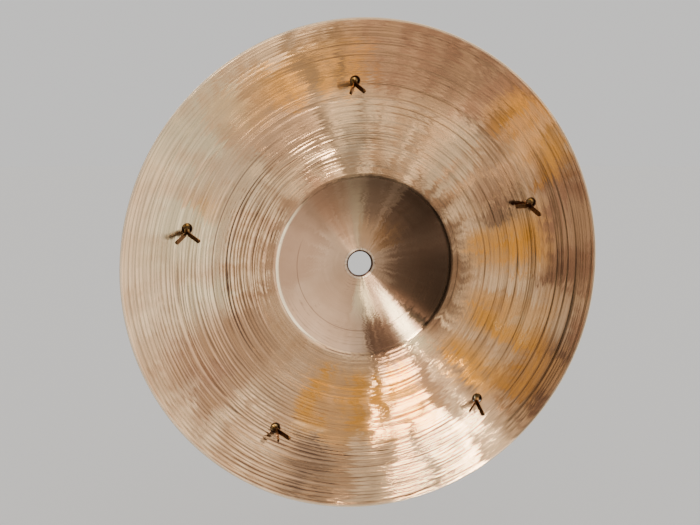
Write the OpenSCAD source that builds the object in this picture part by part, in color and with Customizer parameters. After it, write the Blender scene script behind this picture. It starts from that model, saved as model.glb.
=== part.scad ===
// Sizzle splash cymbal: one cast, hammered and lathed bronze plate that hangs on edge
// from its centre hole, with five loose split brass rivets in holes round the bow.
// Millimetres. +X right, +Z up, +Y out of the bell, origin in the middle of the centre hole.
// The hollow side looks along -Y, and the split legs of the rivets stand out of it.

/* [View] */
// Piece to show: all of them, or one

/* [Plate] */
// Diameter over the edge
plate_d = 254; // [200:1:330]
// Diameter of the bell at its crease, on the hollow side
bell_d = 96; // [70:1:120]
// Rise of the bow, from the edge up to the crease, on the hollow side
bow_rise = 15; // [6:0.5:24]
// Rise of the bell over its crease, up to where the axis would meet it
bell_rise = 12.3; // [8:0.1:24]
// Half width of the rounded crease between bell and bow
crease_w = 2.2; // [0.5:0.1:5]
// Thickness over the whole bell
bell_t = 0.9; // [0.7:0.05:1.6]
// Thickness at the edge
edge_t = 0.65; // [0.5:0.05:1.2]
// How far the edge corners are broken
edge_break = 0.18; // [0.05:0.01:0.25]

/* [Centre hole] */
// Diameter of the mounting hole
hole_d = 13; // [11:0.1:14]
// Width of the bevel round it, on the hollow side
hole_bevel = 0.2; // [0.1:0.05:0.3]

/* [Rivet holes] */
// Radius of the circle that the holes lie on
rivet_ring_r = 96.5; // [80:0.5:112]
// Diameter of each hole
rivet_hole_d = 4.8; // [4:0.1:6]
// Width of the countersink that takes the burr off each hole
deburr = 0.15; // [0.05:0.05:0.3]

/* [Rivets] */
// Diameter of the domed head
head_d = 7.4; // [6:0.1:9]
// Height of the head
head_h = 1.7; // [1:0.1:2.5]
// Diameter of the shank, which the saw cut splits into two half-round legs
shank_d = 2.8; // [2:0.1:3.4]
// Width of the saw cut between the legs
slot_w = 0.3; // [0.2:0.05:0.6]
// How far below the plate the saw cut ends
crotch_z = 2.6; // [2:0.1:5]
// Length of each leg below the saw cut, measured along it
leg_l = 10.5; // [6:0.5:14]
// Radius of the bend that spreads each leg
bend_r = 4; // [2:0.1:8]
// Gap left where a rivet rests on the plate
rest_gap = 0.06; // [0.03:0.01:0.2]

/* [Rivet 1, top] */
// Place of its hole round the plate, from +X towards +Z
angle_1 = 94.7; // [-180:0.1:180]
// How far its legs droop below level
droop_1 = 26; // [0:1:40]
// How far its legs swing sideways
swing_1 = -6; // [-40:1:40]
// How far it has turned about its shank
twist_1 = -8; // [-90:1:90]
// How far each leg is spread
splay_1 = 17; // [10:1:50]

/* [Rivet 2, right] */
// Place of its hole round the plate, from +X towards +Z
angle_2 = 19.9; // [-180:0.1:180]
// How far its legs droop below level
droop_2 = 19; // [0:1:40]
// How far its legs swing sideways
swing_2 = -29; // [-40:1:40]
// How far it has turned about its shank
twist_2 = 21; // [-90:1:90]
// How far each leg is spread
splay_2 = 45; // [10:1:50]

/* [Rivet 3, lower right] */
// Place of its hole round the plate, from +X towards +Z
angle_3 = -50.4; // [-180:0.1:180]
// How far its legs droop below level
droop_3 = 21; // [0:1:40]
// How far its legs swing sideways
swing_3 = -21; // [-40:1:40]
// How far it has turned about its shank
twist_3 = 18; // [-90:1:90]
// How far each leg is spread
splay_3 = 19; // [10:1:50]

/* [Rivet 4, lower left] */
// Place of its hole round the plate, from +X towards +Z
angle_4 = -121.7; // [-180:0.1:180]
// How far its legs droop below level
droop_4 = 8; // [0:1:40]
// How far its legs swing sideways
swing_4 = 10; // [-40:1:40]
// How far it has turned about its shank
twist_4 = -3; // [-90:1:90]
// How far each leg is spread
splay_4 = 14; // [10:1:50]

/* [Rivet 5, left] */
// Place of its hole round the plate, from +X towards +Z
angle_5 = 166.2; // [-180:0.1:180]
// How far its legs droop below level
droop_5 = 27; // [0:1:40]
// How far its legs swing sideways
swing_5 = -2; // [-40:1:40]
// How far it has turned about its shank
twist_5 = -3; // [-90:1:90]
// How far each leg is spread
splay_5 = 32; // [10:1:50]

/* [Hidden] */
$fn = 128;
bell_r = bell_d / 2;
// the edge is cut square to the bow, so the hollow side ends a little inside the diameter
edge_slope = atan(bow_rise * plate_d / (pow(plate_d / 2, 2) - pow(bell_r, 2)));
plate_r = plate_d / 2 - edge_t * sin(edge_slope);
hole_r = hole_d / 2;
shank_r = shank_d / 2;
head_r = head_d / 2;
rivet_hole_r = rivet_hole_d / 2;
// the saw leaves the legs a little thinner than the shank, and they start inside it
leg_r = shank_r - 0.03;
root_angle = 6;
// rounding of the leg tips
tip_r = 1.7;

// bow: part of a ball whose middle is bow_c below the edge plane
bow_c = (pow(plate_r, 2) - pow(bell_r, 2) - pow(bow_rise, 2)) / (2 * bow_rise);
bow_ball = sqrt(pow(plate_r, 2) + pow(bow_c, 2));
// bell: part of a smaller ball
bell_ball = (pow(bell_r, 2) + pow(bell_rise, 2)) / (2 * bell_rise);
bell_c = sqrt(pow(bell_ball, 2) - pow(bell_r, 2));

// height of the hollow side over the edge plane
function bow_z(r) = sqrt(pow(bow_ball, 2) - pow(r, 2)) - bow_c;
function bell_z(r) = bow_rise + sqrt(pow(bell_ball, 2) - pow(r, 2)) - bell_c;
// origin of the whole part: halfway through the plate at the centre hole
origin_z = bell_z(hole_r) + bell_t / 2;

// thickness: even over the bell, then tapering to the edge
function thick(r) = r < bell_r ? bell_t : bell_t - (bell_t - edge_t) * (r - bell_r) / (plate_r - bell_r);

// a point of the rounded crease, t from 0 to 1 going outwards
crease_in = [bell_r - crease_w, bell_z(bell_r - crease_w)];
crease_mid = [bell_r, bow_rise];
crease_out = [bell_r + crease_w, bow_z(bell_r + crease_w)];
function crease(t) = pow(1 - t, 2) * crease_in + 2 * t * (1 - t) * crease_mid + pow(t, 2) * crease_out;

bell_steps = 14;
crease_steps = 6;
bow_steps = 20;
bell_span = bell_r - crease_w - hole_r;
bow_span = plate_r - bell_r - crease_w;
hollow_line = [
    for (i = [0 : bell_steps - 1])
        let (r = hole_r + bell_span * i / bell_steps)
        [r, bell_z(r)],
    for (i = [0 : crease_steps - 1])
        crease(i / crease_steps),
    for (i = [0 : bow_steps])
        let (r = bell_r + crease_w + bow_span * i / bow_steps)
        [r, bow_z(r)]
];
last = len(hollow_line) - 1;
// direction along the line at point i, and the same turned to point out of the bell
function along(i) =
    let (d = hollow_line[min(i + 1, last)] - hollow_line[max(i - 1, 0)])
    d / norm(d);
function outward(i) = [-along(i)[1], along(i)[0]];
outer_line = [for (i = [0 : last]) hollow_line[i] + thick(hollow_line[i][0]) * outward(i)];
edge_in = hollow_line[last];
edge_out = outer_line[last];
hole_top = bell_z(hole_r) + bell_t;

// frame of a rivet hole: its middle and the direction out of the bell there
ring_slope = asin(rivet_ring_r / bow_ball);
ring_t = thick(rivet_ring_r);
ring_z = bow_z(rivet_ring_r) + ring_t / 2 / cos(ring_slope) - origin_z;
function hole_dir(a) = [sin(ring_slope) * cos(a), cos(ring_slope), sin(ring_slope) * sin(a)];
function hole_mid(a) = [rivet_ring_r * cos(a), ring_z, rivet_ring_r * sin(a)];
// direction from the legs to the head of a rivet
function head_dir(droop, swing) = [-sin(swing) * cos(droop), cos(swing) * cos(droop), sin(droop)];
// how far a rivet leans in its hole, and towards which side its legs go
function lean(a, droop, swing) = acos(hole_dir(a) * head_dir(droop, swing));
function lean_side(a, droop, swing) =
    let (
        n = hole_dir(a),
        h = head_dir(droop, swing),
        s = (h * n) * n - h
    )
    s / norm(s);
// the shank lies against the edge of its hole, and the rim of the head against the plate
function shank_shift(q) =
    rivet_hole_r - rest_gap - shank_r * cos(q) - (ring_t / 2 + shank_r * sin(q)) * tan(q);
function head_seat(q) = (ring_t / 2 + rest_gap + head_r * sin(q)) / cos(q);

// turn a shape drawn with the bell up so that the bell points along +Y
module bell_to_y() {
    rotate([-90, 0, 0])
        children();
}

// bore of one rivet hole with its broken corners
module rivet_hole(a) {
    translate(hole_mid(a))
        rotate([0, -a, 0])
            rotate([0, 0, -ring_slope])
                bell_to_y() {
                    cylinder(h = 8, r = rivet_hole_r, center = true, $fn = 48);
                    translate([0, 0, -ring_t / 2 - 0.5 + deburr])
                        cylinder(h = 0.5, r1 = rivet_hole_r + 0.5, r2 = rivet_hole_r, $fn = 48);
                }
}

module plate_body() {
    translate([0, 0, -origin_z])
        rotate_extrude($fn = 256)
            polygon(concat(
                [[hole_r + hole_bevel, bell_z(hole_r + hole_bevel)]],
                [for (i = [1 : last - 1]) hollow_line[i]],
                [
                    edge_in + [-edge_break, edge_break * 0.28],
                    edge_in + [0, edge_break],
                    edge_out + [0, -edge_break],
                    edge_out + [-edge_break, edge_break * 0.28 - edge_break * 0.1]
                ],
                [for (i = [1 : last - 1]) outer_line[last - i]],
                [
                    [hole_r + 0.1, hole_top],
                    [hole_r, hole_top - 0.1],
                    [hole_r, bell_z(hole_r) + hole_bevel]
                ]
            ));
}

module cymbal_plate() {
    color([0.76, 0.62, 0.45])
        difference() {
            bell_to_y()
                plate_body();
            rivet_hole(angle_1);
            rivet_hole(angle_2);
            rivet_hole(angle_3);
            rivet_hole(angle_4);
            rivet_hole(angle_5);
        }
}

// domed head, with its flat side at z = 0
module rivet_head() {
    rim = 0.35;
    dome = (pow(head_r, 2) + pow(head_h - rim, 2)) / (2 * (head_h - rim));
    rotate_extrude($fn = 64)
        polygon(concat(
            [
                [0, 0],
                [head_r - 0.15, 0],
                [head_r, 0.15],
                [head_r, rim]
            ],
            [
                for (i = [1 : 8])
                    let (r = head_r * (1 - i / 8))
                    [r, rim + sqrt(pow(dome, 2) - pow(r, 2)) - dome + head_h - rim]
            ]
        ));
}

// one half-round leg: its bend, which starts inside the shank, then its straight part
module rivet_leg(splay) {
    bend_l = bend_r * splay * PI / 180;
    straight = leg_l - bend_l;
    translate([bend_r, 0, -crotch_z]) {
        rotate([90, 0, 0])
            rotate([0, 0, 180 - root_angle])
                rotate_extrude(angle = splay + root_angle, $fn = 96)
                    intersection() {
                        translate([bend_r, 0])
                            circle(r = leg_r, $fn = 48);
                        translate([0, -shank_r - 1])
                            square([bend_r - slot_w / 2, shank_d + 2]);
                    }
        rotate([0, -splay, 0])
            translate([-bend_r, 0, 0])
                intersection() {
                    translate([0, 0, -straight])
                        cylinder(h = straight + 0.3, r = leg_r - 0.03, $fn = 48);
                    translate([slot_w / 2 + 0.02, -shank_r - 1, -straight - 1])
                        cube([shank_r + 1, shank_d + 2, straight + 2]);
                    union() {
                        translate([0, 0, -straight + tip_r])
                            rotate([0, 90, 0])
                                cylinder(h = shank_r + 1, r = tip_r, $fn = 48);
                        translate([0, -shank_r - 1, -straight + tip_r])
                            cube([shank_r + 1, shank_d + 2, straight]);
                    }
                }
    }
}

// a whole rivet on its own axis: z = 0 is where the shank crosses the middle of the plate
module rivet_body(seat, splay) {
    translate([0, 0, seat])
        rivet_head();
    translate([0, 0, -crotch_z])
        cylinder(h = crotch_z + seat + 0.5, r = shank_r, $fn = 48);
    rivet_leg(splay);
    rotate([0, 0, 180])
        rivet_leg(splay);
}

// the rivet as it rests in the hole at angle a
module rivet_at(a, droop, swing, twist, splay) {
    q = lean(a, droop, swing);
    translate(hole_mid(a) + shank_shift(q) * lean_side(a, droop, swing))
        rotate([0, 0, swing])
            rotate([droop, 0, 0])
                bell_to_y()
                    rotate([0, 0, twist])
                        rivet_body(head_seat(q), splay);
}

module rivet_1() {
    color([0.58, 0.42, 0.16])
        rivet_at(angle_1, droop_1, swing_1, twist_1, splay_1);
}

module rivet_2() {
    color([0.58, 0.42, 0.16])
        rivet_at(angle_2, droop_2, swing_2, twist_2, splay_2);
}

module rivet_3() {
    color([0.58, 0.42, 0.16])
        rivet_at(angle_3, droop_3, swing_3, twist_3, splay_3);
}

module rivet_4() {
    color([0.58, 0.42, 0.16])
        rivet_at(angle_4, droop_4, swing_4, twist_4, splay_4);
}

module rivet_5() {
    color([0.58, 0.42, 0.16])
        rivet_at(angle_5, droop_5, swing_5, twist_5, splay_5);
}

cymbal_plate();
rivet_1();
rivet_2();
rivet_3();
rivet_4();
rivet_5();
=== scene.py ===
import math

import bmesh
import bpy
import numpy as np
from mathutils import Matrix, Vector


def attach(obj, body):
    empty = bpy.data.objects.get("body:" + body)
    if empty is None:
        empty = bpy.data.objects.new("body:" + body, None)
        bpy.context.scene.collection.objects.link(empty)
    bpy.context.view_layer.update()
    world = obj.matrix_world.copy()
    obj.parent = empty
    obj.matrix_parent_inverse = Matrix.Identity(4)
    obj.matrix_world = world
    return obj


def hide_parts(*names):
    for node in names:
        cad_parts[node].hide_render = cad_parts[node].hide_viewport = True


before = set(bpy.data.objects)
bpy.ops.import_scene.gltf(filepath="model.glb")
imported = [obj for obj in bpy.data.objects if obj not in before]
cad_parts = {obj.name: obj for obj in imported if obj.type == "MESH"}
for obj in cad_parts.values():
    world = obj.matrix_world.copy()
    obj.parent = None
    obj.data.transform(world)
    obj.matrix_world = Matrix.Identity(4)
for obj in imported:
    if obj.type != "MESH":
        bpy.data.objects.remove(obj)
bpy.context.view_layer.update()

MM = 0.001
TURN = 2 * math.pi

# ---------------------------------------------------------------- plate profile, in mm
PLATE_D, BELL_R, BOW_RISE, BELL_RISE = 254.0, 48.0, 15.0, 12.3
BELL_T, EDGE_T, HOLE_R, CREASE_W = 0.9, 0.65, 6.5, 2.2
EDGE_SLOPE = math.atan(BOW_RISE * PLATE_D / ((PLATE_D / 2) ** 2 - BELL_R**2))
PLATE_R = PLATE_D / 2 - EDGE_T * math.sin(EDGE_SLOPE)
BOW_C = (PLATE_R**2 - BELL_R**2 - BOW_RISE**2) / (2 * BOW_RISE)
BOW_BALL = math.hypot(PLATE_R, BOW_C)
BELL_BALL = (BELL_R**2 + BELL_RISE**2) / (2 * BELL_RISE)
BELL_C = math.sqrt(BELL_BALL**2 - BELL_R**2)
RING_R, RIVET_HOLE_R = 96.5, 2.4
RIVET_ANGLES = (94.7, 19.9, -50.4, -121.7, 166.2)


def bow_z(r):
    return np.sqrt(BOW_BALL**2 - r**2) - BOW_C


def bell_z(r):
    return BOW_RISE + np.sqrt(BELL_BALL**2 - r**2) - BELL_C


ORIGIN_Z = float(bell_z(HOLE_R)) + BELL_T / 2


def hollow_z(r):
    """Height of the hollow side over the edge plane, with the crease rounded."""
    r = np.asarray(r, float)
    start, end = BELL_R - CREASE_W, BELL_R + CREASE_W
    inner, outer = bell_z(np.minimum(r, end)), bow_z(np.maximum(r, start))
    t = np.clip((r - start) / (2 * CREASE_W), 0, 1)
    crease = (1 - t) ** 2 * bell_z(start) + 2 * t * (1 - t) * BOW_RISE + t**2 * bow_z(end)
    return np.where(r < start, inner, np.where(r > end, outer, crease))


def slope(r):
    return (hollow_z(r + 0.01) - hollow_z(r - 0.01)) / 0.02


def thickness(r):
    taper = (BELL_T - EDGE_T) * (r - BELL_R) / (PLATE_R - BELL_R)
    return np.where(r < BELL_R, BELL_T, BELL_T - taper)


# hammer marks: shallow dents, the same on both sides, in rough rings of this radius and count
DENT_RINGS = ((58, 17), (67, 20), (77, 23), (87, 26), (98, 29), (108, 33), (118, 36))
BELL_DENTS = 14
DENTS_START, DENTS_FULL = 9, 15  # radii between which the marks fade in, away from the centre hole
EDGE_WAVE = 0.10
rng = np.random.default_rng(7)
DENTS = []  # x, y, radius, depth
for ring, count in DENT_RINGS:
    for k in range(count):
        a = TURN * (k + rng.uniform(-0.35, 0.35)) / count
        rr = ring + rng.uniform(-4, 4)
        DENTS.append((rr * math.cos(a), rr * math.sin(a), rng.uniform(7, 12), rng.uniform(-0.07, 0.09)))
for k in range(BELL_DENTS):
    a, rr = rng.uniform(0, TURN), rng.uniform(14, 40)
    DENTS.append((rr * math.cos(a), rr * math.sin(a), rng.uniform(6, 10), rng.uniform(-0.03, 0.04)))


def dent_height(x, y):
    h = np.zeros_like(x)
    for dx, dy, radius, depth in DENTS:
        q = ((x - dx) ** 2 + (y - dy) ** 2) / radius**2
        h += np.where(q < 1, depth * (1 - q) ** 2, 0.0)
    # the plate is never quite flat round its edge
    a, r = np.arctan2(y, x), np.hypot(x, y)
    return h + EDGE_WAVE * (r / PLATE_R) ** 3 * np.sin(3 * a + 0.7)


def surface(r, a, off):
    """Points off mm out of the bell from the hollow side, at radius r and angle a, in metres."""
    s = slope(r)
    n = np.sqrt(1 + s**2)
    away_from_hole = np.clip((r - DENTS_START) / (DENTS_FULL - DENTS_START), 0, 1)
    off = off + dent_height(r * np.cos(a), r * np.sin(a)) * away_from_hole
    rr = r - s / n * off
    z = hollow_z(r) + off / n - ORIGIN_Z
    return np.stack([rr * np.cos(a), z, rr * np.sin(a)], -1) * MM


# ---------------------------------------------------------------- plate mesh
CELLS_ROUND = 360
WINDOW_RINGS, WINDOW_CELLS = 5, 3  # half size of the window of cells round each rivet hole
# inside a window: steps towards a circle of WINDOW_R, then smaller circles down to the hole
WINDOW_R, WINDOW_STEPS, WINDOW_CIRCLES = 3.3, (0.3, 0.6), (3.1, 2.8)
RIM_BAND = 0.35  # between the last ring of cells and the edge
# profile of the edge: mm back from it, mm up from the hollow side
RIM_PROFILE = ((0.16, 0.0), (0.05, 0.05), (0.0, 0.16), (0.0, 0.49), (0.05, 0.60), (0.16, 0.65))
# profile of the centre hole, from the outer side: mm wider than the hole, mm over the hollow side
HOLE_PROFILE = ((0.07, 0.88), (0.0, 0.80), (0.0, 0.22), (0.06, 0.08))
RIVET_HOLE_BEVEL, RIVET_HOLE_EASE = 0.15, 0.02  # the ease is what the hole is wider than the CAD's
# the last material is painted shade: the walls and bevels of the holes are near black
HOLLOW, OUTER, EDGE, HOLE_SHADE = 0, 1, 2, 3  # material of each face

radii = np.concatenate([
    np.linspace(HOLE_R + 0.2, HOLE_R + 3, 5),
    np.linspace(HOLE_R + 4, BELL_R - CREASE_W, 24),
    np.linspace(BELL_R - CREASE_W, BELL_R + CREASE_W, 9)[1:],
    np.linspace(BELL_R + CREASE_W, PLATE_R - RIM_BAND, 74)[1:],
])
rings = len(radii)
angles = np.arange(CELLS_ROUND) * 2 * math.pi / CELLS_ROUND
verts, faces, face_mat = [], [], []


def add(points):
    """Adds the points and gives the index of the first."""
    start = len(verts)
    verts.extend([tuple(p) for p in np.asarray(points).reshape(-1, 3)])
    return start


def add_loop(r, z):
    """A ring of points at radius r and height z over the edge plane."""
    ones = np.ones(CELLS_ROUND)
    return add(np.stack([r * np.cos(angles), (z - ORIGIN_Z) * ones, r * np.sin(angles)], -1) * MM)


all_r, all_a = np.meshgrid(radii, angles, indexing="ij")
grid = {
    HOLLOW: add(surface(all_r, all_a, np.zeros_like(all_r))),
    OUTER: add(surface(all_r, all_a, thickness(all_r))),
}


def grid_point(side, i, j):
    return grid[side] + i * CELLS_ROUND + (j % CELLS_ROUND)


windows, skipped = [], set()
for deg in RIVET_ANGLES:
    a0 = math.radians(deg) % TURN
    i_mid, j_mid = int(np.argmin(abs(radii - RING_R))), int(round(a0 / TURN * CELLS_ROUND))
    i0, i1 = i_mid - WINDOW_RINGS, i_mid + WINDOW_RINGS
    j0, j1 = j_mid - WINDOW_CELLS, j_mid + WINDOW_CELLS
    skipped.update((i, j % CELLS_ROUND) for i in range(i0, i1) for j in range(j0, j1))
    windows.append((a0, i0, i1, j0, j1))

for side in (HOLLOW, OUTER):
    for i in range(rings - 1):
        for j in range(CELLS_ROUND):
            if (i, j) not in skipped:
                corners = ((i, j), (i + 1, j), (i + 1, j + 1), (i, j + 1))
                face = [grid_point(side, *c) for c in corners]
                faces.append(face if side == HOLLOW else face[::-1])
                face_mat.append(side)


def join(loops, size, mat, flip=False):
    """Strips of faces between loops, where each loop lists its points."""
    for a, b in zip(loops[:-1], loops[1:]):
        for j in range(size):
            k = (j + 1) % size
            face = [a[j], b[j], b[k], a[k]]
            faces.append(face[::-1] if flip else face)
            face_mat.append(mat)


def whole_ring(start):
    return range(start, start + CELLS_ROUND)


# edge and centre hole
edge_s = float(slope(PLATE_R))
edge_n = math.hypot(1, edge_s)
edge_z = float(hollow_z(PLATE_R))
wave = dent_height(PLATE_R * np.cos(angles), PLATE_R * np.sin(angles))
rim_loops = [whole_ring(grid[HOLLOW] + (rings - 1) * CELLS_ROUND)]
for back, up in RIM_PROFILE:
    r = PLATE_R - back / edge_n - (up + wave) * edge_s / edge_n
    z = edge_z - back * edge_s / edge_n + (up + wave) / edge_n
    rim_loops.append(whole_ring(add_loop(r, z)))
rim_loops.append(whole_ring(grid[OUTER] + (rings - 1) * CELLS_ROUND))
join(rim_loops, CELLS_ROUND, EDGE)

hole_z = float(hollow_z(HOLE_R))
hole_loops = [whole_ring(grid[OUTER])]
for wider, up in HOLE_PROFILE:
    hole_loops.append(whole_ring(add_loop(HOLE_R + wider, hole_z + up)))
hole_loops.append(whole_ring(grid[HOLLOW]))
join(hole_loops, CELLS_ROUND, HOLE_SHADE)

# each window is filled with rings of points that run from its square border to the round rivet hole
ring_cos = math.cos(math.atan(float(slope(RING_R))))
ring_t = float(thickness(RING_R))
for a0, i0, i1, j0, j1 in windows:
    border = [(i0, j) for j in range(j0, j1)] + [(i, j1) for i in range(i0, i1)]
    border += [(i1, j) for j in range(j1, j0, -1)] + [(i, j0) for i in range(i1, i0, -1)]
    size = len(border)
    border_r = np.array([radii[i] for i, j in border])
    border_a = np.array([j * 2 * math.pi / CELLS_ROUND for i, j in border])
    u = (border_r - RING_R) / ring_cos
    v = ((border_a - a0 + math.pi) % TURN - math.pi) * RING_R
    phi = np.arctan2(v, u)

    def add_ring(u, v, off):
        """A ring of points u mm outwards and v mm round from the middle of the rivet hole."""
        r, a = RING_R + u * ring_cos, a0 + v / RING_R
        start = add(surface(r, a, thickness(r) if off is None else np.full(size, off)))
        return list(range(start, start + size))

    hole_rim = {}
    for side in (HOLLOW, OUTER):
        off = 0.0 if side == HOLLOW else None
        loops = [[grid_point(side, i, j) for i, j in border]]
        for t in WINDOW_STEPS:
            loops.append(add_ring(u * (1 - t) + WINDOW_R * np.cos(phi) * t,
                                  v * (1 - t) + WINDOW_R * np.sin(phi) * t, off))
        for radius in (*WINDOW_CIRCLES, RIVET_HOLE_R + RIVET_HOLE_EASE + RIVET_HOLE_BEVEL):
            loops.append(add_ring(radius * np.cos(phi), radius * np.sin(phi), off))
        join(loops[:-1], size, side, flip=side == HOLLOW)
        # the last step round each rivet hole is painted shade, like the wall
        join(loops[-2:], size, HOLE_SHADE, flip=side == HOLLOW)
        hole_rim[side] = loops[-1]
    radius = RIVET_HOLE_R + RIVET_HOLE_EASE
    wall = [add_ring(radius * np.cos(phi), radius * np.sin(phi), off)
            for off in (RIVET_HOLE_BEVEL, ring_t - RIVET_HOLE_BEVEL)]
    join([hole_rim[HOLLOW], *wall, hole_rim[OUTER]], size, HOLE_SHADE)

mesh = bpy.data.meshes.new("cymbal_plate_lathed")
mesh.from_pydata(verts, [], faces)
mesh.update()
plate = bpy.data.objects.new("cymbal_plate_lathed", mesh)
bpy.context.scene.collection.objects.link(plate)
bm = bmesh.new()
bm.from_mesh(mesh)
bmesh.ops.recalc_face_normals(bm, faces=bm.faces)
bm.to_mesh(mesh)
open_edges = sum(1 for e in bm.edges if len(e.link_faces) != 2)
bm.free()
print("plate faces", len(mesh.polygons), "open edges", open_edges)


# ---------------------------------------------------------------- node helpers
class Nodes:
    """A short way to write a node tree. A value may be a number or another node's output."""

    def __init__(self, tree):
        self.tree = tree

    def new(self, kind, **settings):
        n = self.tree.nodes.new("ShaderNode" + kind)
        for key, value in settings.items():
            setattr(n, key, value)
        return n

    def put(self, node, socket, value):
        if hasattr(value, "is_output"):
            self.tree.links.new(value, node.inputs[socket])
        else:
            node.inputs[socket].default_value = value

    def filled(self, kind, values, **settings):
        """The first output of a new node whose first inputs are the values."""
        n = self.new(kind, **settings)
        for k, value in enumerate(values):
            self.put(n, k, value)
        return n.outputs[0]

    def math(self, op, *values):
        return self.filled("Math", values, operation=op)

    def mul(self, a, b):
        return self.math("MULTIPLY", a, b)

    def add(self, a, b):
        return self.math("ADD", a, b)

    def sub(self, a, b):
        return self.math("SUBTRACT", a, b)

    def mad(self, a, b, c):
        return self.math("MULTIPLY_ADD", a, b, c)

    def centred(self, a):
        return self.sub(a, 0.5)

    def gap(self, a, b):
        return self.math("ABSOLUTE", self.sub(a, b))

    def span(self, value, lo, hi, to_lo=0.0, to_hi=1.0):
        """Runs smoothly from to_lo to to_hi as the value runs from lo to hi."""
        return self.filled("MapRange", (value, lo, hi, to_lo, to_hi), interpolation_type="SMOOTHSTEP")

    def noise(self, vector, scale, detail, rough):
        n = self.new("TexNoise")
        settings = (("Vector", vector), ("Scale", scale), ("Detail", detail), ("Roughness", rough))
        for socket, value in settings:
            self.put(n, socket, value)
        return n.outputs[0]

    def mix(self, fac, a, b):
        n = self.new("Mix", data_type="RGBA")
        self.put(n, 0, fac)
        for socket, value in ((6, a), (7, b)):
            self.put(n, socket, value if hasattr(value, "is_output") else (*value, 1))
        return n.outputs[2]


class Surface(Nodes):
    """The node tree of a new material, with one Principled shader."""

    def __init__(self, name, **constants):
        self.mat = bpy.data.materials.new(name)
        self.mat.use_nodes = True
        super().__init__(self.mat.node_tree)
        self.tree.nodes.clear()
        self.bsdf = self.new("BsdfPrincipled")
        self.tree.links.new(self.bsdf.outputs[0], self.new("OutputMaterial").inputs[0])
        for socket, value in constants.items():
            self.put(self.bsdf, socket.replace("_", " "), value)

    def place(self):
        return self.new("TexCoord").outputs["Object"]


# ---------------------------------------------------------------- bronze
BEIGE, TAN, ROSE, AMBER = (0.88, 0.63, 0.40), (0.60, 0.38, 0.22), (0.38, 0.21, 0.13), (0.80, 0.37, 0.06)
PALE, BRIGHT, UMBER = (0.80, 0.62, 0.42), (0.88, 0.78, 0.52), (0.16, 0.09, 0.06)
# near-black brown, for the painted shade in the grooves and the dark rim of the centre hole
DEEP_BROWN = (0.085, 0.05, 0.042)
BELL_TONES = ((0.66, 0.47, 0.33), (0.54, 0.36, 0.24))
# pale tones: wear round the centre hole and along the edge, and a painted highlight for the crease
WORN_AT_HOLE, WORN_AT_EDGE, CREASE_HIGHLIGHT = (0.95, 0.84, 0.70), (0.90, 0.74, 0.56), (0.98, 0.84, 0.60)
# patches of stain and tarnish, and among them painted shade and painted highlights: the dark right half of
# the bell and some dark patches on the bow are painted shade, the pale and bright wedges are painted
# highlights;
# painted in this order: colour, middle and half width in degrees from +X towards +Z,
# radius from and to in mm, strength; the patches of the bell come last
STAINS_AND_PAINTED_LIGHT = (
    (ROSE, 352, 38, 99, 134, 1.0), (UMBER, 358, 5, 100, 122, 0.5), (UMBER, 23, 7, 72, 92, 0.8),
    (ROSE, 68, 29, 92, 134, 0.95), (UMBER, 48, 24, 104, 134, 0.3), (ROSE, 32, 9, 72, 92, 0.7),
    (ROSE, 208, 13, 60, 112, 0.9), (ROSE, 124, 13, 72, 108, 0.6), (UMBER, 252, 9, 96, 134, 0.8),
    (UMBER, 328, 12, 96, 134, 0.8), (PALE, 165, 32, 70, 128, 0.8), (BRIGHT, 168, 9, 84, 116, 0.8),
    (BRIGHT, 142, 13, 99, 134, 0.7), (BRIGHT, 188, 4, 72, 100, 0.6), (PALE, 97, 8, 50, 92, 0.7),
    (PALE, 52, 6, 55, 95, 0.7), (PALE, 295, 14, 84, 128, 0.8), (ROSE, 291, 11, 50, 87, 0.85),
    (TAN, 225, 30, 50, 90, 0.6), (AMBER, 8, 8, 60, 101, 1.0), (AMBER, 338, 8, 62, 108, 0.95),
    (AMBER, 316, 7, 62, 98, 1.0), (AMBER, 268, 26, 58, 93, 0.95), (AMBER, 107, 15, 94, 118, 0.8),
    (AMBER, 128, 9, 92, 118, 0.4), (AMBER, 39, 12, 99, 126, 0.85), (PALE, 344, 6, 84, 120, 0.6),
    (AMBER, 325, 8, 98, 118, 0.6), (AMBER, 159, 4, 84, 99, 0.6),
    (UMBER, 10, 54, 16, 56, 0.78), (ROSE, 122, 7, 14, 56, 0.6), (ROSE, 150, 42, 26, 56, 0.5),
    (UMBER, 80, 10, 24, 56, 0.5), (BRIGHT, 95, 5, 8, 44, 0.35), (UMBER, 284, 11, 29, 56, 0.95),
    (ROSE, 318, 7, 24, 56, 0.5), (AMBER, 60, 34, 13, 24, 0.18), (BRIGHT, 272, 14, 8, 28, 0.6),
    (BRIGHT, 304, 6, 18, 56, 0.8))
BELL_REACH = 56  # patches that end by here are on the bell, and are less streaky
# where the lathe cut its deepest grooves, which get the most painted shade: middle, half width, radius from
# and to, strength
DEEP = ((155, 40, 54, 74, 1.4), (262, 34, 93, 126, 0.9), (110, 30, 60, 80, 0.4), (215, 40, 74, 110, 0.35),
        (300, 70, 6, 13, 0.35), (270, 70, 38, 47, 0.35))
# single grooves that the tool cut deeper than the rest, painted dark as shade: radius, strength; and where
# they show
GROOVES = ((74.2, 1.0), (72.6, 0.9), (68.8, 0.6), (67.2, 0.6), (65.3, 0.6), (63.6, 0.5), (61.8, 0.5),
           (81.5, 0.7))
GROOVES_SHOW = (172, 44, 50, 90)
BELL_STREAKS = (287, 34, 8, 47)  # where the marks lean the bell's surface the most


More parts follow.
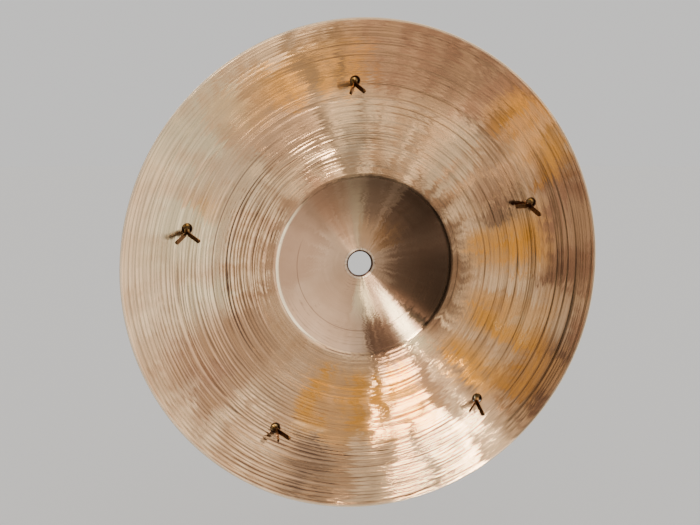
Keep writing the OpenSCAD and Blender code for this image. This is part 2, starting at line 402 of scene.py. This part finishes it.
def bronze(name, seed, spin=0.0, patch_weight=1.0):
    """Lathed and hammered bronze. The patches of stain, painted shade and painted highlight are turned by
    spin and weakened by the last argument.
    """
    m = Surface(name, Metallic=1.0, Anisotropic=0.95, Anisotropic_Rotation=0.25)
    m.put(m.bsdf, "Tangent", m.new("Tangent", direction_type="RADIAL", axis="Y").outputs[0])
    mul, mad, centred, span = m.mul, m.mad, m.centred, m.span

    # radius in mm, turn from 0 to 1 round the axis from +X towards +Z, and the same as an angle
    place = m.place()
    split = m.new("SeparateXYZ")
    m.put(split, 0, place)
    x, _, z = split.outputs
    r = mul(m.math("SQRT", m.add(mul(x, x), mul(z, z))), 1 / MM)
    turn = m.math("FRACT", m.add(m.math("DIVIDE", m.math("ARCTAN2", z, x), TURN), 1.0))
    ang = mul(turn, TURN)

    def round_noise(angle, per_mm, per_turn, shift, detail, rough):
        """Noise with cells 1 / per_mm long outwards, about 6 * per_turn of them round the plate."""
        vector = m.filled("CombineXYZ", (
            mul(r, per_mm),
            mul(m.math("COSINE", angle), per_turn),
            mad(m.math("SINE", angle), per_turn, seed + shift)))
        return m.noise(vector, 1.0, detail, rough)

    # rings left by the lathe, and marks across them whose edges step a little from ring to ring
    ring = round_noise(ang, 0.75, 0.4, 0.0, 3, 0.75)
    coarse = round_noise(ang, 0.25, 1.1, 7.3, 2, 0.6)
    stepped = mad(centred(ring), 0.26, ang)
    broad = round_noise(stepped, 0.020, 2.6, 1.7, 2, 0.5)
    hammer = round_noise(stepped, 0.030, 9.0, 3.1, 2, 0.55)
    chatter = round_noise(stepped, 0.075, 38.0, 5.7, 2, 0.5)
    grain = round_noise(stepped, 1.1, 55.0, 2.2, 1, 0.5)
    cloud = m.noise(place, 22, 4, 0.6)
    on_bow = span(r, BELL_R - 1.6, BELL_R - 0.4)

    # the edges of every patch are roughened by the marks and step from ring to ring;
    # 2.5 turns keep the turn above nought and put the middle of a patch at a half
    wobble = m.add(centred(hammer), mul(centred(chatter), 0.8))
    zone_turn = m.add(mad(wobble, 0.045, mad(centred(ring), 0.022, turn)), spin + 2.5)
    zone_r = mad(wobble, 24.0, r)

    def zone(mid, half, r0, r1, soft_deg=9.0, soft_mm=13.0):
        """One inside a patch of the plate and nought outside."""
        off = m.gap(m.math("FRACT", m.sub(zone_turn, mid / 360.0)), 0.5)
        across = span(off, (half + soft_deg / 2) / 360.0, (half - soft_deg / 2) / 360.0)
        away, reach = m.gap(zone_r, (r0 + r1) / 2), (r1 - r0) / 2
        return mul(across, span(away, reach + soft_mm / 2, reach - soft_mm / 2))

    def band(at, wide, narrow):
        """A thin ring at one radius."""
        return span(m.gap(r, at), wide, narrow)

    # stains, painted shade and painted highlights, patch by patch
    streaky = mad(hammer, 0.45, mad(chatter, 0.25, mul(ring, 0.3)))
    bow_tone = m.mix(span(streaky, 0.40, 0.60), TAN, BEIGE)
    col = m.mix(on_bow, m.mix(span(cloud, 0.35, 0.65), *BELL_TONES), bow_tone)
    patchy, even = span(streaky, 0.40, 0.56, 0.3, 1.0), span(streaky, 0.40, 0.56, 0.9, 1.0)
    for colour, mid, half, r0, r1, strength in STAINS_AND_PAINTED_LIGHT:
        here = mul(zone(mid, half, r0, r1), even if r1 <= BELL_REACH else patchy)
        col = m.mix(mul(here, strength * patch_weight), col, colour)
    # round the centre hole: worn bright metal, specks of dirt, and a dark rim
    worn = mul(span(r, HOLE_R + 2.3, HOLE_R + 1.5), span(chatter, 0.38, 0.52))
    col = m.mix(worn, col, WORN_AT_HOLE)
    specks = mul(span(r, HOLE_R + 3.2, HOLE_R + 1.6), span(chatter, 0.52, 0.62))
    col = m.mix(mul(specks, 0.8), col, UMBER)
    col = m.mix(span(mad(centred(chatter), 0.8, r), HOLE_R + 1.0, HOLE_R + 0.7), col, DEEP_BROWN)
    # worn metal along the edge, and painted shade along the crease of the bell
    col = m.mix(mul(span(r, PLATE_R - 1.3, PLATE_R - 0.7), 0.7), col, WORN_AT_EDGE)
    crease_shade = mul(band(BELL_R + 0.2, 0.55, 0.2), span(hammer, 0.42, 0.58))
    col = m.mix(mul(crease_shade, 0.75), col, UMBER)
    # a painted highlight along one side of the crease, and the tool left a fine turned line inside the bell
    crease_highlight = mul(band(47.5, 1.1, 0.4), span(m.math("COSINE", m.sub(ang, 3.25)), 0.55, 0.88))
    col = m.mix(crease_highlight, col, CREASE_HIGHLIGHT)
    line = mul(band(36.0, 0.35, 0.1), span(m.math("SINE", m.sub(ang, 2.6)), 0.0, 0.4))
    col = m.mix(mul(line, 0.6), col, UMBER)
    # painted shade in the deeper grooves
    wave = m.math("SINE", mul(mad(r, 0.55, mul(coarse, 3.0)), TURN))
    depth = mul(on_bow, 0.20)
    for mid, half, r0, r1, strength in DEEP:
        depth = mad(zone(mid, half, r0, r1, 16.0, 6.0), strength, depth)
    depth = m.math("MINIMUM", depth, 1.0)
    cut = mul(mul(span(wave, 0.60, 0.97), span(coarse, 0.36, 0.56)), depth)
    single, groove_place = 0.0, mad(centred(coarse), 0.8, r)
    for groove_r, strength in GROOVES:
        single = mad(span(m.gap(groove_place, groove_r), 0.50, 0.18), strength, single)
    cut = m.math("MAXIMUM", cut, mul(single, zone(*GROOVES_SHOW, 34.0, 6.0)))
    m.put(m.bsdf, "Base Color", m.mix(mul(cut, 0.9), col, DEEP_BROWN))

    # relief: the marks lean the surface sideways, and the rings lean it in and out
    side = mad(centred(chatter), 0.04, mul(centred(grain), 0.03))
    side = mad(centred(broad), 0.10, mad(centred(hammer), 0.115, side))
    side = mul(side, mad(zone(*BELL_STREAKS, 10.0, 6.0), 1.1, mad(on_bow, 0.5, 0.5)))
    out = mul(mad(centred(ring), 0.52, mul(mul(wave, depth), 0.14)), mad(on_bow, 0.6, 0.4))
    c, s = m.math("COSINE", ang), m.math("SINE", ang)
    lean = m.filled("CombineXYZ", (m.sub(mul(out, c), mul(side, s)), 0.0, m.add(mul(out, s), mul(side, c))))
    lean = m.filled("VectorTransform", (lean,),
                    vector_type="VECTOR", convert_from="OBJECT", convert_to="WORLD")
    normal = m.new("NewGeometry").outputs["Normal"]
    leaning = m.filled("VectorMath", (normal, lean), operation="ADD")
    m.put(m.bsdf, "Normal", m.filled("VectorMath", (leaning,), operation="NORMALIZE"))
    m.put(m.bsdf, "Roughness", mad(on_bow, -0.13, mad(cloud, 0.06, 0.26)))
    return m.mat


rim = Surface("rim_bare_bronze", Metallic=0.5, Roughness=0.38, Base_Color=(0.78, 0.62, 0.44, 1))
# near-black painted shade for the walls and bevels of the holes
hole_shade_paint = Surface("hole_wall_painted_shade", Roughness=0.6, Specular_IOR_Level=0.2,
                Base_Color=(0.045, 0.022, 0.012, 1))
# in the order of the hollow side, the outer side, the edge and the painted shade of the holes
hollow, outer = bronze("bell_bronze_hollow", 3.0), bronze("bell_bronze_outer", 11.0, 0.31, 0.75)
for mt in (hollow, outer, rim.mat, hole_shade_paint.mat):
    mesh.materials.append(mt)
mesh.polygons.foreach_set("material_index", face_mat)
mesh.polygons.foreach_set("use_smooth", [True] * len(mesh.polygons))
mesh.update()
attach(plate, "plate")
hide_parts("cymbal_plate")


# ---------------------------------------------------------------- rivets
GOLD = ((0.95, 0.80, 0.50), (0.78, 0.55, 0.24), 0.26)
BROWN = ((0.26, 0.13, 0.05), (0.10, 0.045, 0.02), 0.30)
SEAT_SHADE = (0.06, 0.025, 0.012)


def brass(name, pale, deep, rough, seat_centre=None):
    m = Surface(name, Metallic=1.0)
    place = m.place()
    n = m.noise(place, 900, 3, 0.6)
    col = m.mix(m.span(n, 0.35, 0.7), deep, pale)
    if seat_centre is not None:
        # painted shade: the seat is darkened further out from the shank, under the rim of the hole; next to
        # the shank it keeps the bright brass
        apart = m.new("VectorMath", operation="DISTANCE")
        m.put(apart, 0, place)
        m.put(apart, 1, seat_centre)
        col = m.mix(m.span(apart.outputs["Value"], 1.7 * MM, 2.1 * MM), col, SEAT_SHADE)
    bump = m.new("Bump")
    for socket, value in (("Strength", 0.15), ("Distance", 0.0001), ("Height", n)):
        m.put(bump, socket, value)
    m.put(m.bsdf, "Base Color", col)
    m.put(m.bsdf, "Roughness", m.span(n, 0.3, 0.7, rough, rough + 0.16))
    m.put(m.bsdf, "Normal", bump.outputs[0])
    return m.mat


# painted shade: the legs get dark brown brass, standing for the dark surroundings they reflect
clean, legs_shade_brass = brass("rivet_brass_clean", *GOLD), brass("rivet_brass_dark", *BROWN)
ring_y = float(hollow_z(RING_R)) - ORIGIN_Z
for k in range(1, len(RIVET_ANGLES) + 1):
    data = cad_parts[f"rivet_{k}"].data
    # the legs hang clear of the hollow side; the seat is the face of the head that lies on the plate
    legs = {p.index for p in data.polygons if p.center.y / MM - ring_y < -1.0}
    seat = [p for p in data.polygons if p.center.y / MM - ring_y > 0.3 and p.normal.y < -0.7]
    seat_centre = sum((p.center * p.area for p in seat), Vector()) / sum(p.area for p in seat)
    data.materials.clear()
    for mt in (clean, legs_shade_brass, brass(f"rivet_brass_seat_{k}", *GOLD, seat_centre)):
        data.materials.append(mt)
    for p in data.polygons:
        p.material_index = 1 if p.index in legs else 0
    for p in seat:
        p.material_index = 2


# ---------------------------------------------------------------- floor
FLOOR_Z, FLOOR_R = -0.205, 9.0
PAPER = (0.80, 0.79, 0.775)
bpy.ops.mesh.primitive_circle_add(vertices=96, radius=FLOOR_R, fill_type="NGON", location=(0, 0, FLOOR_Z))
floor = bpy.context.object
floor.name = "floor"
paint = Surface("floor_paint", Roughness=1.0, Specular_IOR_Level=0.0, Base_Color=(*PAPER, 1))
floor.data.materials.append(paint.mat)
floor.visible_glossy = False  # the plate mirrors the studio, not the floor

# ---------------------------------------------------------------- studio
# the plate mirrors a studio that is dark to the left and below and bright to the right;
# the floor is lit evenly, and behind the part the background has the floor's own tone
world = bpy.data.worlds.new("studio")
bpy.context.scene.world = world
world.use_nodes = True
sky = Nodes(world.node_tree)
background = world.node_tree.nodes["Background"]
where = sky.new("SeparateXYZ")
sky.put(where, 0, sky.new("TexCoord").outputs["Generated"])
dx, dz = where.outputs[0], where.outputs[2]
across = sky.add(sky.span(dx, -0.16, 0.08, 0.015, 0.57), sky.span(dx, 0.32, 0.70, 0.0, 0.80))
low_left = sky.mul(sky.span(dx, -0.48, -0.70), sky.span(dz, -0.12, -0.38))
far_left = sky.math("MAXIMUM", low_left, sky.span(dx, -0.78, -0.95))
high_right = sky.mul(sky.span(dx, 0.22, 0.50), sky.span(dz, 0.0, 0.30))
window = sky.mul(sky.span(dx, 0.50, 0.58), sky.span(dx, 0.76, 0.66))
window = sky.mul(window, sky.span(sky.math("ABSOLUTE", sky.add(dz, 0.14)), 0.30, 0.12))
glow = sky.mad(high_right, 0.9, sky.mul(across, sky.span(dz, -0.72, -0.36, 0.16, 1.0)))
glow = sky.math("MAXIMUM", glow, sky.mul(far_left, 0.8))
glow = sky.mad(window, 0.8, glow)
path = sky.new("LightPath")
mirrored, seen = path.outputs["Is Glossy Ray"], path.outputs["Is Camera Ray"]
flat = sky.mad(seen, PAPER[1] - 1.0, 1.0)
sky.put(background, 1, sky.mad(mirrored, sky.sub(glow, flat), flat))
sky.put(background, 0, sky.mix(mirrored, (1.0, 0.985, 0.965), (1.0, 0.90, 0.79)))

# the lamps light the part only, so the floor stays one even tone
unlit = bpy.data.collections.new("not_lit_by_lamps")
unlit.objects.link(floor)
unlit.collection_objects[0].light_linking.link_state = "EXCLUDE"


def lamp(name, place, size, power, colour=(1, 1, 1)):
    """A round area lamp that points at the middle of the part."""
    data = bpy.data.lights.new(name, "AREA")
    data.shape, data.size, data.energy, data.color = "DISK", size, power, colour
    o = bpy.data.objects.new(name, data)
    bpy.context.scene.collection.objects.link(o)
    o.light_linking.receiver_collection = unlit
    o.location = place
    o.rotation_euler = (-Vector(place)).to_track_quat("-Z", "Y").to_euler()


LAMP_DISTANCE = 1.5
WARM = (1.0, 0.76, 0.50)
# lamps in front of the hollow side: name, sines of how far right and up, size, power, colour
LAMPS = (
    ("lamp_low_right", 0.168, 0.075, 0.11, 2.0, (1.0, 0.82, 0.60)),
    ("lamp_over", -0.15, 0.42, 0.20, 7.0, (1.0, 0.85, 0.70)),
    ("lamp_right_low", 0.275, -0.27, 0.20, 0.14, WARM),
    ("lamp_middle", 0.15, -0.12, 0.34, 0.16, WARM),
    ("lamp_left_low", 0.157, -0.266, 0.14, 0.12, WARM),
)
for name, to_right, to_up, size, power, colour in LAMPS:
    ahead = math.sqrt(1 - to_right**2 - to_up**2)
    place = (LAMP_DISTANCE * to_right, -LAMP_DISTANCE * ahead, LAMP_DISTANCE * to_up)
    lamp(name, place, size, power, colour)
lamp("back", (-0.6, 1.3, 0.8), 0.8, 8)

# ---------------------------------------------------------------- camera
# fitted to the outline, the crease, the centre hole and the rivets as the photo shows them
CAMERA_PLACE = (-0.13041, -0.48258, 0.06748)
CAMERA_RIGHT, CAMERA_UP = (0.96803, -0.25083, 0.0), (0.03337, 0.12877, 0.99111)
SENSOR_MM, LENS_MM = 36.0, 47.75
cam_data = bpy.data.cameras.new("camera")
cam = bpy.data.objects.new("camera", cam_data)
bpy.context.scene.collection.objects.link(cam)
bpy.context.scene.camera = cam
cam_data.sensor_width = SENSOR_MM
cam_data.lens = LENS_MM
cam_data.clip_start, cam_data.clip_end = 0.01, 60.0
right, up = Vector(CAMERA_RIGHT).normalized(), Vector(CAMERA_UP).normalized()
back = right.cross(up).normalized()
up = back.cross(right)
turned = Matrix((right, up, back)).transposed().to_4x4()
cam.matrix_world = Matrix.Translation(CAMERA_PLACE) @ turned
